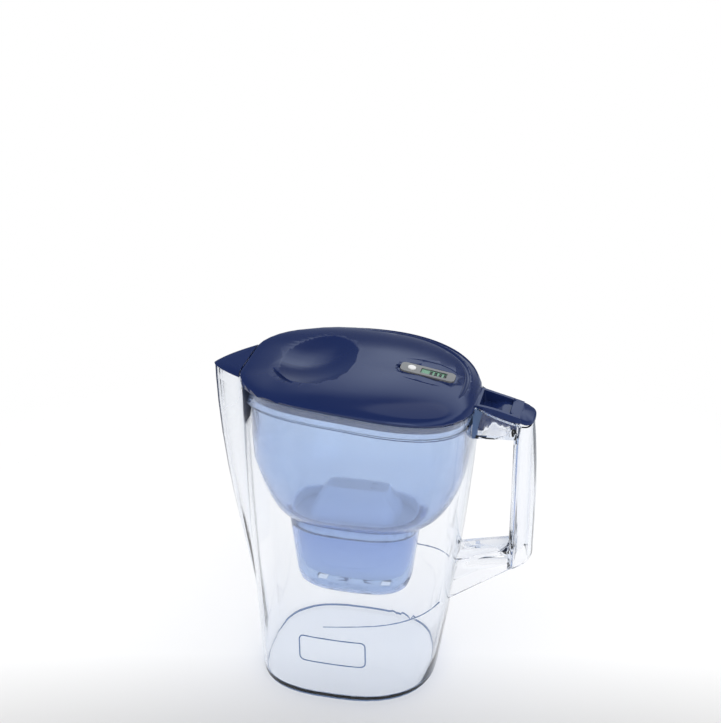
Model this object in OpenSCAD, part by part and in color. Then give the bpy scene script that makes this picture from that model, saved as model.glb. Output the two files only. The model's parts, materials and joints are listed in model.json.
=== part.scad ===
// Water filter pitcher: clear jug with a handle, drop-in funnel, filter cartridge,
// lift-off lid with a hinged spout flap and a battery filter-change indicator.
// Millimetres. +Z is up, -X is the pouring side, +X is the handle side.
// The origin is the centre of the foot, on the surface that the jug stands on.

/* [Jug] */
// Height of the rim at its highest point
jug_h = 262; // [230:1:290]
// Length of the foot along the pouring direction
foot_len = 140.6; // [125:0.1:150]
// Half of the foot's width
foot_half = 63.7; // [55:0.1:68]
// Length of the rim, without the beak
rim_len = 180.5; // [165:0.5:190]
// Half of the rim's width
rim_half = 72.9; // [66:0.1:78]
// How far the rim's centre lies towards the handle
rim_cx = 7.5; // [4:0.5:10]
// How far the rim arches down, at 100 mm from its highest point
rim_arch = 9.2; // [5:0.1:11]
// Where along the jug the rim is highest
rim_peak_x = -31.5; // [-50:0.5:-10]
// Thickness of the jug's wall
jug_wall = 2.4; // [1.8:0.1:2.8]
// Thickness of the jug's bottom
jug_base = 4.6; // [3:0.1:6]
// Height of the thinner band above the funnel ledge
band_h = 12; // [9:0.5:15]
// Wall thickness of that band
band_wall = 1.4; // [1.1:0.1:1.6]
// How far the beak stands out in front of the rim
beak_out = 26.6; // [20:0.2:32]
// Half of the beak's width where it leaves the rim
beak_half = 25.4; // [20:0.2:30]
// Height at which the beak starts to stand out of the wall
beak_foot_z = 25; // [10:1:60]

/* [Handle] */
// Depth of the grip along X
grip_depth = 19; // [16:0.5:24]
// Half of the grip's width
grip_half = 15.5; // [13:0.5:18]
// Distance of the grip's outermost face from the rim's end
grip_reach = 47.05; // [42:0.05:52]
// Depth of the grip's open top below the rim's highest point
grip_top_drop = 25.5; // [22:0.5:32]
// Wall thickness of the handle
handle_wall = 2.4; // [1.8:0.1:3]
// Half of the upper arm's width at the jug
arm_half = 20; // [17:0.5:22]
// Depth of the upper arm's underside below the grip's open top
arm_drop = 12; // [11:0.5:18]
// Rise of the upper arm's edges from the grip to the jug
arm_rise = 14; // [10:0.5:15]
// Depth of the lower arm's top below the rim's highest point, where it meets the jug
low_arm_drop = 147; // [138:0.5:152]
// Rise of the lower arm's top towards the grip
low_arm_rise = 9; // [4:0.5:14]

/* [Funnel] */
// Wall thickness of the funnel
funnel_wall = 1.8; // [1.4:0.1:2.2]
// Depth of the neck between bowl and cartridge chamber below the rim's highest point
neck_drop = 120; // [116:0.5:128]
// Depth below the rim's highest point at which the bowl starts to curve in
bowl_drop = 62; // [52:1:76]
// Height of the cartridge chamber, from its underside to the neck
chamber_h = 68; // [66:0.5:72]
// Half length of the chamber at the neck
chamber_half_l = 53.2; // [52.8:0.1:56]
// Half width of the chamber at the neck
chamber_half_w = 33; // [32.8:0.1:36]
// How far the chamber's walls lean in from neck to bottom
chamber_lean = 8; // [6:0.5:8.5]

/* [Cartridge] */
// Half length of the flange
flange_half_l = 50.9; // [48:0.1:51]
// Half width of the flange
flange_half_w = 30.6; // [29:0.1:30.8]
// Height of the flange ring
flange_h = 12.5; // [10:0.1:13.5]
// Height of the cup below the flange
cup_h = 45.5; // [40:0.5:46]
// Wall thickness of the cup and its cap
cup_wall = 1.3; // [1:0.1:1.6]
// Height of the grip above the flange
cap_grip_h = 19.5; // [16:0.1:22]
// Length of the grip's flat top
cap_grip_len = 50; // [44:0.5:52]
// Length of the grip at its root
cap_root_len = 70; // [62:0.5:74]

/* [Lid] */
// Thickness of the lid's shell
lid_wall = 2.2; // [1.8:0.1:2.6]
// Height of the lip's edge above the rim
lip_t = 2.6; // [2:0.1:3.4]
// How much higher the lid's edge stands at the seam with the spout flap
nose_rise = 2.6; // [2:0.1:3]
// Depth of the skirt below the lip
skirt_h = 8; // [6:0.5:10]
// Height of the dome's middle line over the lip at the spout end
dome_front = 3; // [2:0.1:4]
// Height of the dome's middle line over the lip at the handle end
dome_back = 11.4; // [9:0.1:13]
// Half of the finger scoop's length along the lid
scoop_half_l = 31; // [26:0.5:34]
// Half of the finger scoop's width across the lid
scoop_half_w = 46; // [40:0.5:50]
// Depth of the finger scoop
scoop_depth = 6.5; // [4:0.1:7.5]
// Distance of the scoop's middle behind the seam with the spout flap
scoop_back = 51.1; // [48:0.1:54]
// Length of the lid's tail over the handle, from the grip's outer face inwards
tail_end_gap = 3.6; // [2:0.1:6]
// Half of the tail's width
tail_half = 15.5; // [13:0.1:16]
// Half of the width of the plug below the tail
plug_half = 11; // [8:0.1:13]

/* [Spout flap] */
// Radius of the flap's pivot pins
pin_r = 0.8; // [0.6:0.05:0.9]
// Radial clearance of the pins in the lid's lugs
pin_gap = 0.05; // [0.03:0.01:0.08]
// Half of the flap's width at the seam
flap_half = 27; // [26:0.1:28]
// Thickness of the flap's shell
flap_t = 1.2; // [1:0.1:1.4]

/* [Indicator] */
// Length of the indicator's case
case_len = 42; // [38:0.5:46]
// Width of the indicator's case
case_w = 14; // [13:0.5:16]
// Total height of the indicator's case
case_h = 6.4; // [6.2:0.1:7]
// Distance of the indicator's middle from the rim's end
case_back = 39.25; // [35:0.25:42]
// Radius of the indicator's button
button_r = 3.1; // [2.6:0.1:3.4]
// Diameter of the button cell
cell_d = 9.5; // [7.9:0.1:9.5]

/* [Hidden] */

$fn = 48;

clear = [0.86, 0.91, 0.96, 0.45];
frost_blue = [0.62, 0.73, 0.93, 0.8];
navy = [0.11, 0.16, 0.36];
white = [0.95, 0.96, 0.96];
silver = [0.72, 0.73, 0.73];

// ---------- outlines and skins ----------

beak_steps = 5;    // points on each half of the beak
side_steps = 10;   // points on each long side in front of the middle
end_steps = 22;    // points around the handle end
join_gap = 0.05;   // gap between pieces that are bonded or snapped together
slip = 0.3;        // gap between pieces that lift out of each other
lip_g = 0.8;       // how far the lid's lip stands out over the jug's rim

function mix(a, b, t) = a + (b - a) * t;
function clamp01(t) = min(1, max(0, t));

// Share of the way from foot to rim that the wall has spread at height z.
function spread(z) = let (t = clamp01(z / jug_h)) 0.2 * t + 0.8 * sin(90 * t);

function half_l(z) = mix(foot_len, rim_len, spread(z)) / 2;
function half_w(z) = mix(foot_half, rim_half, spread(z));
function mid_x(z) = rim_cx * spread(z);
function front_power(z) = mix(2.86, 2.71, z / jug_h);
function back_power(z) = mix(2.47, 2.43, z / jug_h);
function flare(z) = mix(-0.01, 0.058, z / jug_h);

// Height lost by the arched rim at x, fading to nothing at the foot.
function rim_drop(x) = rim_arch * pow((x - rim_peak_x) / 100, 2);
function rim_z(x) = jug_h - rim_drop(x);
function arched(x, z) = z - rim_drop(x) * pow(clamp01(z / jug_h), 2);

// How far the beak stands out at height z.
function beak_fade(z) = clamp01((jug_h - 4 - z) / (jug_h - 4 - beak_foot_z));
function beak_d(z) = beak_out * (1 - pow(beak_fade(z), 1.8));
function beak_w(z) = beak_half * (1 - 0.25 * beak_fade(z));

// Front of the oval at y, measured from the oval's middle.
function front_x(y, hl, hw, n) = -hl * pow(1 - pow(min(1, abs(y) / hw), n), 1 / n);

// One outline of the jug family at height z, grown by g (negative is inside).
// bg grows the front part, between the beak's sides, and beak = false leaves the beak out.
function outline(z, g, bg = 0, beak = true) =
  let (
    hl = half_l(z) + g,
    hw = half_w(z) + g,
    hlb = half_l(z) + bg,
    hwb = half_w(z) + bg,
    cx = mid_x(z),
    nf = front_power(z),
    nb = back_power(z),
    fl = flare(z),
    w = beak ? beak_w(z) + bg * 0.45 : beak_half,
    d = beak ? max(0, beak_d(z) + bg * 0.45) : 0,
    a0 = asin(w / hw),
    front = [for (i = [-beak_steps:beak_steps])
      let (u = i / beak_steps, y = w * u)
      [cx + front_x(y, hlb, hwb, nf) - d * (1 - pow(abs(u), 1.25)), y]],
    side = [for (j = [1:side_steps])
      let (a = mix(a0, 90, j / side_steps))
      [cx - hl * pow(max(0, 1 - pow(sin(a), nf)), 1 / nf), hw * sin(a)]],
    end = [for (j = [1:end_steps - 1])
      let (a = 180 * j / end_steps, c = cos(a))
      [cx + hl * pow(sin(a), 2 / nb), hw * sign(c) * pow(abs(c), 2 / nb)]],
    other = [for (j = [side_steps - 1:-1:0]) [side[j][0], -side[j][1]]]
  )
  [for (p = concat(front, side, end, other))
    [p[0], p[1] * (1 + fl * (p[0] - cx) / half_l(z))]];

function lift(points, z) = [for (p = points) [p[0], p[1], z]];
function lift_arched(points, z) = [for (p = points) [p[0], p[1], arched(p[0], z)]];

// A plain oval: half length, half width, middle x and squareness.
function oval(hl, hw, cx, n, steps = 44) =
  [for (i = [0:steps - 1])
    let (a = -360 * i / steps, c = cos(a), s = sin(a))
    [cx + hl * sign(c) * pow(abs(c), 2 / n), hw * sign(s) * pow(abs(s), 2 / n)]];

function centre(ring) = [for (k = [0:2]) [for (p = ring) p[k]] * [for (p = ring) 1] / len(ring)];

// Closed skin over rings of equal length, the first and last closed to their middles.
// Rings run clockwise seen from above, and the list runs up the outside and down the inside.
module skin(rings) {
  n = len(rings[0]);
  m = len(rings);
  points = concat([for (r = rings) each r], [centre(rings[0]), centre(rings[m - 1])]);
  start = n * m;
  faces = concat(
    [for (i = [0:n - 1]) [start, (i + 1) % n, i]],
    [for (j = [0:m - 2]) for (i = [0:n - 1])
      let (a = j * n + i, b = j * n + (i + 1) % n)
      each [[a, b, b + n], [a, b + n, a + n]]],
    [for (i = [0:n - 1]) [start + 1, (m - 1) * n + i, (m - 1) * n + (i + 1) % n]]);
  polyhedron(points, faces, convexity = 8);
}

// ---------- jug ----------

ledge_z = jug_h - band_h;
wall_levels = [for (share = [0.096, 0.2, 0.32, 0.44, 0.56, 0.68, 0.8, 0.912]) share * ledge_z];

function jug_outside(g) = concat(
  [lift(outline(0, g - 2.4), 0), lift(outline(1, g - 0.8), 0.8), lift(outline(3, g), 3)],
  [for (z = wall_levels) lift_arched(outline(z, g), z)],
  [lift_arched(outline(ledge_z, g), ledge_z),
   lift_arched(outline(jug_h - 0.5, g), jug_h - 0.5),
   lift_arched(outline(jug_h, g - 0.4), jug_h)]);

jug_inside = concat(
  [lift_arched(outline(jug_h, -band_wall + 0.3, -jug_wall + 0.3), jug_h),
   lift_arched(outline(jug_h - 0.5, -band_wall, -jug_wall), jug_h - 0.5),
   lift_arched(outline(ledge_z + 0.2, -band_wall, -jug_wall), ledge_z + 0.2),
   lift_arched(outline(ledge_z, -jug_wall, -jug_wall), ledge_z)],
  [for (i = [len(wall_levels) - 1:-1:0])
    lift_arched(outline(wall_levels[i], -jug_wall, -jug_wall), wall_levels[i])],
  [lift(outline(jug_base, -jug_wall, -jug_wall), jug_base + 1.2),
   lift(outline(jug_base, -jug_wall - 1, -jug_wall), jug_base)]);

foot_plate = 2;

module jug_body() {
  color(clear) union() {
    skin(concat(jug_outside(0), jug_inside));
    // the flat face that the jug stands on
    linear_extrude(foot_plate) polygon(outline(0, -4));
  }
}

// ---------- handle ----------

rim_end_x = rim_cx + rim_len / 2;
grip_out_x = rim_end_x + grip_reach;
grip_in_x = grip_out_x - grip_depth;
grip_top_z = jug_h - grip_top_drop;
grip_low_z = jug_h - low_arm_drop - 6;   // lowest point of the grip's inner wall
arm_low_z = grip_top_z - arm_drop;
arm_root_x = rim_end_x - 9.75;           // where the upper arm starts, inside the jug's wall
arm_end_x = grip_in_x + 8;
arm_len = arm_end_x - rim_end_x;
low_arm_z = jug_h - low_arm_drop;
low_root_x = arm_root_x - 18;            // where the lower arm starts
low_slope = 0.72;      // how steeply the handle's lower edges climb outwards
grip_levels = [0, 0.12, 0.3, 0.5, 0.7, 0.87, 1];

// Height of the upper arm's edges at x.
function arm_top(x) = grip_top_z + arm_rise * pow(max(0, arm_end_x - x) / arm_len, 1.5);

// The grip bows outwards in its middle: how far in the outer face lies at share t of its height.
function grip_in(t) = 0.6 + 4.4 * pow(max(0, t - 0.45) / 0.55, 2);

function grip_ring(t, z, inset) =
  let (out_x = grip_out_x - grip_in(t) - inset, in_x = grip_in_x + inset)
  lift(oval((out_x - in_x) / 2, grip_half - inset, (out_x + in_x) / 2, 3, 36), z);

module grip_skin(inset, low_z, high_z) {
  skin([for (t = grip_levels) grip_ring(t, mix(low_z, high_z, t), inset)]);
}

// A bar along X whose cross-section is a trapezium at each station:
// [x, top z, bottom z, half width at the top, half width at the bottom].
module station_bar(stations) {
  skin([for (s = stations)
    [[s[0], s[3], s[1]], [s[0], s[4], s[2]], [s[0], -s[4], s[2]], [s[0], -s[3], s[1]]]]);
}

function arm_width(x) = mix(arm_half, grip_half, clamp01((x - arm_root_x - 4) / 34));

module upper_arm(inset, x0, x1, rise) {
  station_bar([for (i = [0:8])
    let (x = mix(x0, x1, i / 8), w = arm_width(x) - inset)
    [x, arm_top(x) + rise, arm_low_z + inset, w, w - 1.5]]);
}

function low_arm_top(x) = low_arm_z + low_arm_rise * (x - arm_root_x) / (grip_in_x - arm_root_x);
function low_arm_low(x) = grip_low_z + low_slope * (x - grip_in_x);

module lower_arm(inset, x0, x1, drop) {
  station_bar([for (i = [0:3])
    let (x = mix(x0, x1, i / 3), w = grip_half - 1 - inset)
    [x, low_arm_top(x) - inset, low_arm_low(x) - drop, w, w]]);
}

module jug_handle() {
  color(clear) difference() {
    union() {
      grip_skin(0, grip_low_z - 2, grip_top_z);
      upper_arm(0, arm_root_x, grip_in_x + 3, 0);
      lower_arm(0, low_root_x, grip_in_x + 3, 0);
    }
    // the hollow of the grip, open at both ends
    grip_skin(handle_wall, grip_low_z - 12, grip_top_z + 10);
    // the channel that takes the lid's plug
    upper_arm(handle_wall, arm_root_x - 4, grip_in_x + 0.6, 8);
    // the hollow under the lower arm
    lower_arm(handle_wall, low_root_x - 4, grip_in_x + 0.6, 8);
    // the slanting cut across the grip's lower end
    translate([grip_in_x, 0, grip_low_z - 0.5])
      rotate([0, -atan(low_slope), 0])
        translate([-5, -30, -30]) cube([60, 60, 30]);
    // notch for the end of the lid's plug
    translate([grip_in_x - 3, -plug_half - 0.5, arm_low_z + 5])
      cube([handle_wall + 6, 2 * plug_half + 1, 20]);
    skin(jug_outside(join_gap));
    // above the rim the arm stands back from the lid's lip
    translate([0, 0, rim_z(rim_end_x) - 1.5])
      linear_extrude(40) polygon(outline(jug_h, lip_g + slip));
  }
}

// ---------- funnel ----------

neck_z = jug_h - neck_drop;
bowl_z = jug_h - bowl_drop;
chamber_z = neck_z - chamber_h;
bowl_top_z = ledge_z - 22;           // where the bowl's side begins to follow the arched rim
funnel_gap = 0.6;                    // between the bowl and the jug's wall
funnel_band_g = -band_wall - slip;   // outside of the band that hangs in the jug's rim
funnel_shelf_g = -jug_wall - funnel_gap;
bowl_levels = [0.2, 0.4, 0.58, 0.72, 0.83, 0.91, 0.97];
seat_depth = flange_h + 0.3;
seat_z = neck_z + 2 - seat_depth;
chamber_cx = 2.6;
chamber_n = 2.7;
chamber_floor = 2;

// Profile between a straight line (round_share 0) and a quarter circle (round_share 1).
function bowl(s, round_share) = mix(1 - s, sqrt(1 - s * s), round_share);

// A funnel outline has as many points as the jug's, without the beak.
function funnel_ring(z, g) = outline(z, g, g, false);

// The same outline with its front set back by as much as the beak's wall is thicker than the band.
function band_ring(z, g) = outline(z, g, g - jug_wall + band_wall, false);

// How far a point lies from the spout end (0) to the handle end (1).
function back_share(p) = clamp01((p[0] - rim_cx) / rim_len + 0.5);

// The bowl's spout end leans in by d.
function leaning(points, d) = [for (p = points) [p[0] + d * (1 - back_share(p)), p[1]]];
function bowl_lean(z) = 4 * sin(90 * clamp01((ledge_z - z) / (ledge_z - bowl_z)));
function bowl_side(z, g) = leaning(funnel_ring(z, g), bowl_lean(z));

// Point of a superellipse in the direction of a reference point.
function on_oval(p, hl, hw, cx, n) =
  let (r = pow(pow(abs(p[0]) / hl, n) + pow(abs(p[1]) / hw, n), 1 / n))
  [cx + p[0] / r, p[1] / r];

// Ring that takes its directions from the bowl's top outline and its size from hl and hw.
function chamber_ring(hl, hw, cx) =
  [for (p = funnel_ring(bowl_z, 0))
    on_oval([(p[0] - mid_x(bowl_z)) * hl / half_l(bowl_z), p[1] * hw / half_w(bowl_z)],
      hl, hw, cx, chamber_n)];

// Bowl outline at share s of the way down from bowl_z to the neck.
// The handle end is rounder than the spout end.
function bowl_ring(s, inset) =
  let (
    low = chamber_ring(chamber_half_l - inset, chamber_half_w - inset, chamber_cx),
    high = bowl_side(bowl_z, funnel_shelf_g - inset)
  )
  [for (i = [0:len(low) - 1]) mix(low[i], high[i], bowl(s, mix(0.5, 0.8, back_share(high[i]))))];

function chamber_at(z, inset) =
  let (t = (neck_z - z) / (neck_z - chamber_z), lean = chamber_lean * t)
  chamber_ring(chamber_half_l - inset - lean, chamber_half_w - inset - lean * 0.8, chamber_cx);

module funnel() {
  w = funnel_wall;
  outside = concat(
    [lift(chamber_at(chamber_z + 3, 12), chamber_z),
     lift(chamber_at(chamber_z + 3, 5), chamber_z + 2),
     lift(chamber_at(chamber_z + 7, 1.5), chamber_z + 6),
     lift(chamber_at(chamber_z + 13, 0), chamber_z + 13),
     lift(chamber_at(neck_z - 2, 0), neck_z - 2)],
    [for (i = [len(bowl_levels) - 1:-1:0])
      let (s = bowl_levels[i]) lift(bowl_ring(s, 0), mix(bowl_z, neck_z, s))],
    [lift(bowl_side(bowl_z, funnel_shelf_g), bowl_z),
     lift_arched(bowl_side(bowl_top_z, funnel_shelf_g), bowl_top_z),
     lift_arched(funnel_ring(ledge_z + 0.4, funnel_shelf_g), ledge_z + 0.4),
     lift_arched(band_ring(ledge_z + 0.6, funnel_band_g), ledge_z + 0.6),
     lift_arched(band_ring(jug_h, funnel_band_g), jug_h)]);
  inside = concat(
    [lift_arched(band_ring(jug_h, funnel_band_g - w), jug_h),
     lift_arched(band_ring(ledge_z + 0.6, funnel_band_g - w), ledge_z + 0.6),
     lift_arched(bowl_side(bowl_top_z, funnel_shelf_g - w), bowl_top_z),
     lift(bowl_side(bowl_z, funnel_shelf_g - w), bowl_z)],
    [for (s = bowl_levels) lift(bowl_ring(s, w), mix(bowl_z, neck_z, s) + w * s)],
    [lift(chamber_at(neck_z, w), neck_z + w + 0.2),
     lift(chamber_at(neck_z, w), seat_z),
     lift(chamber_at(neck_z, w + 3.4), seat_z - 0.5),
     lift(chamber_at(chamber_z + 16, w), chamber_z + 16),
     lift(chamber_at(chamber_z + 9, w + 1.5), chamber_z + 8),
     lift(chamber_at(chamber_z + 5, w + 6), chamber_z + chamber_floor)]);
  color(frost_blue) difference() {
    union() {
      skin(concat(outside, inside));
      key_post(post_r, chamber_z, post_top_z);
    }
    key_post(post_r - w, chamber_z - 1, post_top_z - w);
    // outlet slots for the filtered water
    for (x = [-24, 28])
      translate([x - 4, -6, chamber_z - 1]) cube([8, 12, chamber_floor + 2]);
  }
}

post_r = 8.5;
post_top_z = chamber_z + 30;

// Round-topped post on the chamber's floor that the cartridge's well fits over.
module key_post(r, low_z, top_z) {
  translate([chamber_cx, 0, low_z]) {
    cylinder(h = top_z - r - low_z, r = r);
    translate([0, 0, top_z - r - low_z]) sphere(r = r);
  }
}

// ---------- cartridge ----------

cart_x = chamber_cx + 0.4;
flange_top_z = neck_z + 2;
flange_low_z = flange_top_z - flange_h;
cup_low_z = flange_low_z - cup_h;
cup_n = 2.7;
cup_top_l = flange_half_l - 4.3;
cup_top_w = flange_half_w - 4.2;
cup_lean = 4;
deck_z = flange_low_z + 3;   // underside of the cap's deck
deck_t = 1.4;

function cup_oval(inset) = oval(cup_top_l - inset, cup_top_w - inset, cart_x, cup_n);

function cup_at(z, inset) =
  let (t = (flange_low_z - z) / cup_h)
  lift(cup_oval(inset + cup_lean * t), z);

// Inner skin of the cup, from its mouth down.
function cup_hollow(inset, top_z, low_z) = [
  cup_at(top_z, inset),
  cup_at(low_z + 14, inset),
  cup_at(low_z + 5, inset + 2.5),
  cup_at(low_z, inset + 8)];

cup_floor_z = cup_low_z + 1.6;
well_r = post_r + 1.4;               // inside of the well over the funnel's key post
well_out_r = well_r + 1.2;
well_top_z = post_top_z + 2.8;       // outside of the well's roof

module cartridge_cup() {
  color(white) difference() {
    union() {
      translate([chamber_cx, 0, cup_low_z]) cylinder(h = well_top_z - cup_low_z, r = well_out_r);
      skin(concat(
      [cup_at(cup_low_z, 8), cup_at(cup_low_z + 4.5, 2.5), cup_at(cup_low_z + 13, 0),
       cup_at(flange_low_z - 0.3, 0),
       lift(oval(flange_half_l - 1.2, flange_half_w - 1.2, cart_x, cup_n), flange_low_z - join_gap),
       lift(oval(flange_half_l - 1.2, flange_half_w - 1.2, cart_x, cup_n), flange_low_z + 1.2)],
      [lift(cup_oval(cup_wall), flange_low_z + 1.2)],
      cup_hollow(cup_wall, flange_low_z - 3, cup_floor_z)));
    }
    translate([chamber_cx, 0, cup_low_z - 1])
      cylinder(h = well_top_z - cup_low_z - 0.2, r = well_r);
    // outlet slots in the cup's floor, on both sides of the well
    for (side = [-1, 1])
      for (i = [0:2])
        translate([cart_x + side * (14.5 + 4.5 * i) - 1, -7, cup_low_z - 1]) cube([2, 14, 4]);
  }
}

// Flat screen with rows of openings at the given distances from its middle.
module screen(z, inset, rows_x) {
  linear_extrude(0.8) difference() {
    polygon([for (p = cup_at(z, inset)) [p[0], p[1]]]);
    for (x = rows_x)
      for (j = [-1:1])
        translate([cart_x + x - 2.5, 11 * j - 4]) square([5, 8]);
  }
}

screen_gap = 0.1;
row_pitch = 8;   // distance between the screens' rows of openings
outlet_screen_z = cup_floor_z + 1.2;
inlet_screen_z = flange_low_z - 2.2;

module cartridge_outlet_screen() {
  color(white) translate([0, 0, outlet_screen_z]) difference() {
    screen(cup_floor_z + 1.2, cup_wall + 8 + screen_gap, [for (k = [-3.5, -2.5, 2.5, 3.5]) k * row_pitch]);
    translate([chamber_cx, 0, -1]) cylinder(h = 3, r = well_out_r + screen_gap);
  }
}

module filter_granules() {
  low = outlet_screen_z + 0.8 + screen_gap;
  top = inlet_screen_z - screen_gap;
  color("dimgray") difference() {
    skin([
      cup_at(low, cup_wall + 8.4), cup_at(cup_floor_z + 5.4, cup_wall + 3.4),
      cup_at(cup_floor_z + 14, cup_wall + 0.6), cup_at(top, cup_wall + 0.6)]);
    translate([chamber_cx, 0, low - 1])
      cylinder(h = well_top_z - low + 1 + screen_gap, r = well_out_r + screen_gap);
  }
}

module cartridge_inlet_screen() {
  color(white) translate([0, 0, inlet_screen_z])
    screen(inlet_screen_z, cup_wall + screen_gap + 0.2, [for (k = [-4:4]) k * row_pitch]);
}

function flange_ring(inset, z) =
  lift(oval(flange_half_l - inset, flange_half_w - inset, cart_x, cup_n), z);

grip_cx = cart_x + 0.5;
crown_shift = 2.4;   // how far the grip's top lies towards the handle

// One level of the cap's grip, shifted towards the handle.
function grip_level(len, hw, shift, z) = lift(oval(len / 2, hw, grip_cx + shift, 5), z);

// The grip's skin, grown inwards by wall, from low_z to top_z.
module grip_block(wall, low_z, shoulder_z, top_z) {
  root_w = 25;
  crown_w = 8.5;
  mid_len = mix(cap_root_len, cap_grip_len, 0.5);
  mid_w = mix(root_w, crown_w, 0.6);
  skin([
    grip_level(cap_root_len - 2 * wall, root_w - wall, 0, low_z),
    grip_level(cap_root_len - 2 * wall, root_w - wall, 0, shoulder_z),
    grip_level(mid_len - 2 * wall, mid_w - wall, crown_shift / 2, mix(shoulder_z, top_z, 0.55)),
    grip_level(cap_grip_len + 1 - 2 * wall, crown_w - wall, crown_shift, top_z - 1.2),
    grip_level(cap_grip_len - 1 - 2 * wall, crown_w - 1.4 - wall, crown_shift, top_z)]);
}

// Round hollows for the fingers at the grip's two ends, grown by grow.
module finger_hollows(grow) {
  for (side = [-1, 1])
    translate([grip_cx + side * (cap_root_len / 2 + 7.5), 0, flange_top_z + 16])
      rotate([90, 0, 0]) cylinder(h = 20 + 2 * grow, r = 16 + grow, center = true);
}

module cartridge_cap() {
  top = flange_top_z + cap_grip_h;
  color(white) difference() {
    union() {
      // flange ring with its recessed deck
      skin([
        flange_ring(1.2, flange_low_z + 1.2 + join_gap), flange_ring(0, flange_low_z + 2),
        flange_ring(0, flange_top_z - 0.6), flange_ring(0.4, flange_top_z),
        flange_ring(1.4, flange_top_z), flange_ring(1.8, flange_top_z - 0.6),
        flange_ring(2, deck_z + deck_t)]);
      // finger grip
      grip_block(0, deck_z + 0.5, flange_top_z - 2, top);
    }
    // hollow of the grip, open below, with a wall left around the finger hollows
    difference() {
      grip_block(1.6, flange_low_z - 2, flange_top_z - 2.6, top - 1.4);
      finger_hollows(1.4);
    }
    finger_hollows(0);
    // vents along the grip's top
    for (x = [-15, 15])
      for (y = [-3.4, 3.4])
        translate([cart_x + x - 2.5, y - 0.6, top - 4]) cube([5, 1.2, 8]);
  }
}

// ---------- lid ----------

skirt_g = funnel_band_g - funnel_wall - 0.5;  // outside of the skirt, inside the funnel's band
lid_front_x = rim_cx - rim_len / 2 + 1.65;    // the straight seam behind the flap
pivot_x = lid_front_x - 3.1;
pivot_z = rim_z(pivot_x) + 2.8;
lid_shares = [0.985, 0.96, 0.92, 0.86, 0.78, 0.66, 0.5, 0.3];

// Radius of the arc that is half_span wide on each side and scoop_depth deep.
function dish_r(half_span) = (half_span * half_span + scoop_depth * scoop_depth) / (2 * scoop_depth);

scoop_x = lid_front_x + scoop_back;
scoop_len_r = dish_r(scoop_half_l);
scoop_wide_r = dish_r(scoop_half_w);

function lip_top(x) = rim_z(x) + lip_t + nose_rise * clamp01((lid_front_x + 31.1 - x) / 28);

// Height of the dome's middle line over the lip, growing towards the handle.
function crown(x) = mix(dome_front, dome_back, clamp01((x - lid_front_x - 6.1) / 150));

// Top of the lid at share r from the middle to the edge.
function dome(x, r) = lip_top(x) + crown(x) * pow(max(0, 1 - pow(r, 3.4)), 0.55);

scoop_top_z = dome(scoop_x, 0.3);
scoop_centre_z = scoop_top_z - scoop_depth + scoop_wide_r;

// Underside of the shell below the scoop, at a point of the lid.
function scoop_under(x, y) =
  let (
    r = scoop_len_r + lid_wall,
    reach = scoop_wide_r - scoop_len_r + sqrt(max(0, r * r - pow(x - scoop_x, 2)))
  )
  scoop_centre_z - sqrt(max(0, reach * reach - y * y));

// The scoop's cutter: a ring whose lowest part has one radius along the lid and another across it.
module scoop_cutter() {
  translate([scoop_x, 0, scoop_centre_z])
    rotate([0, 90, 0])
      rotate_extrude($fn = 96)
        translate([scoop_wide_r - scoop_len_r, 0]) circle(r = scoop_len_r, $fn = 96);
}

function toward_middle(p, r) = [mix(rim_cx, p[0], r), p[1] * r];

function dome_ring(base, r) =
  [for (p = base) let (q = toward_middle(p, r)) [q[0], q[1], dome(q[0], r)]];

function ceiling_ring(base, r) =
  [for (p = base)
    let (q = toward_middle(p, r),
      near = norm([(q[0] - scoop_x) / (scoop_half_l + 6), q[1] / (scoop_half_w + 6)]) < 1)
    [q[0], q[1], min(dome(q[0], r) - lid_wall, near ? scoop_under(q[0], q[1]) : 999)]];

function flat_front(points, x) = [for (p = points) [max(p[0], x), p[1]]];

lip_ring = flat_front(funnel_ring(jug_h, lip_g), lid_front_x);
skirt_ring = band_ring(jug_h, skirt_g);
inner_ring = band_ring(jug_h, skirt_g - lid_wall);
lip_clear = 0.3;   // lip over the rim

module lid_main() {
  rings = concat(
    [for (i = [len(lid_shares) - 1:-1:0]) ceiling_ring(inner_ring, lid_shares[i])],
    [lift_arched(inner_ring, jug_h - skirt_h + 2.5),
     lift_arched(band_ring(jug_h, skirt_g - lid_wall + 0.3), jug_h - skirt_h),
     lift_arched(band_ring(jug_h, skirt_g - 0.3), jug_h - skirt_h),
     lift_arched(skirt_ring, jug_h - skirt_h + 3),
     lift_arched(skirt_ring, jug_h + lip_clear),
     lift_arched(lip_ring, jug_h + lip_clear),
     [for (p = lip_ring) [p[0], p[1], lip_top(p[0]) - 0.3]]],
    [for (r = lid_shares) dome_ring(lip_ring, r)]);
  skin(rings);
}

tail_x0 = rim_end_x - 8;
tail_end_x = grip_out_x - tail_end_gap;
tail_wall = 2.2;
pad_x = grip_out_x - 23;                 // where the thumb pad begins
plug_x0 = rim_end_x + 0.6;               // the plug's end at the jug
plug_x1 = grip_in_x - 0.9;               // the plug's end at the grip
plug_low_z = arm_low_z + handle_wall + 0.6;

tail_rise = lip_top(rim_end_x) - grip_top_z - 3.3;   // rise of the tail from the grip to the lid

// How far x lies from the lid's lip (0) to the tail's level end (1).
function tail_share(x) = clamp01((x - rim_end_x + 1.2) / (grip_out_x - rim_end_x - 8));

// Upper and lower edge of the tail's side walls at x.
function tail_top(x) = grip_top_z + 5.5 + tail_rise * (1 - pow(tail_share(x), 1.25));
function tail_low(x) = grip_top_z + 0.6 + (tail_rise - 1.4) * (1 - pow(tail_share(x), 1.6));
function tail_width(x) = tail_half - 1.2 * clamp01((x - tail_x0 - 8) / 12);
function pad_top(x) = tail_top(x) - 1.8 * pow(clamp01((x - pad_x - 8) / 12), 2);

// Floor of the tail's trough, deep behind the lid and shallow before the pad.
function trough_floor(x) = tail_low(x) + mix(-2.4, tail_wall, clamp01((x - pad_x + 16) / 12));

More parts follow.
